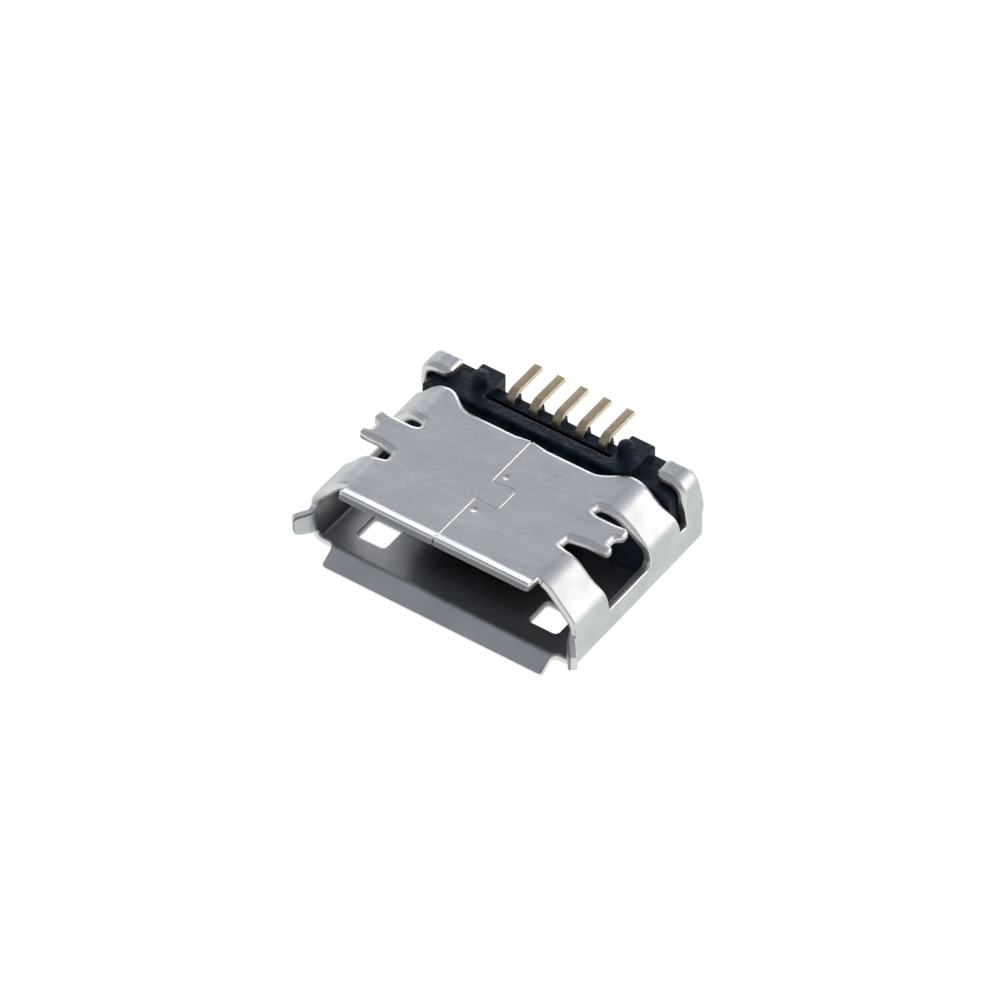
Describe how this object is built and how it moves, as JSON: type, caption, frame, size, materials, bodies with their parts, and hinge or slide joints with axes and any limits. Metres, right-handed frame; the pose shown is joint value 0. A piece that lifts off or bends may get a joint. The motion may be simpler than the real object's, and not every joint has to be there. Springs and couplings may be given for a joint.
{
  "type": "micro usb socket",
  "caption": "Small surface-mount data socket: folded metal shell with a flared mouth, solder wings and locating pegs, and a black housing with a tongue and soldering feet.",
  "frame": {"origin": "middle of the part's bounding box in X and Y, at the tip of the lower lip", "axes": "+X across the mouth, along the row of contacts; the plug goes in along +Y, so the mouth opens to -Y and the soldering feet point to +Y; +Z is square to the board-side plate and points at the circuit board"},
  "size_m": [0.008, 0.0062, 0.003],
  "materials": {
    "plated_steel": "satin nickel plate on folded sheet",
    "black_plastic": "fine moulded texture",
    "contact_metal": "pale, tinned over copper alloy"
  },
  "bodies": {
    "root": {"shell": "plated_steel", "housing": "black_plastic", "contact_power": "contact_metal", "contact_data_minus": "contact_metal", "contact_data_plus": "contact_metal", "contact_id": "contact_metal", "contact_ground": "contact_metal"}
  },
  "joints": []
}
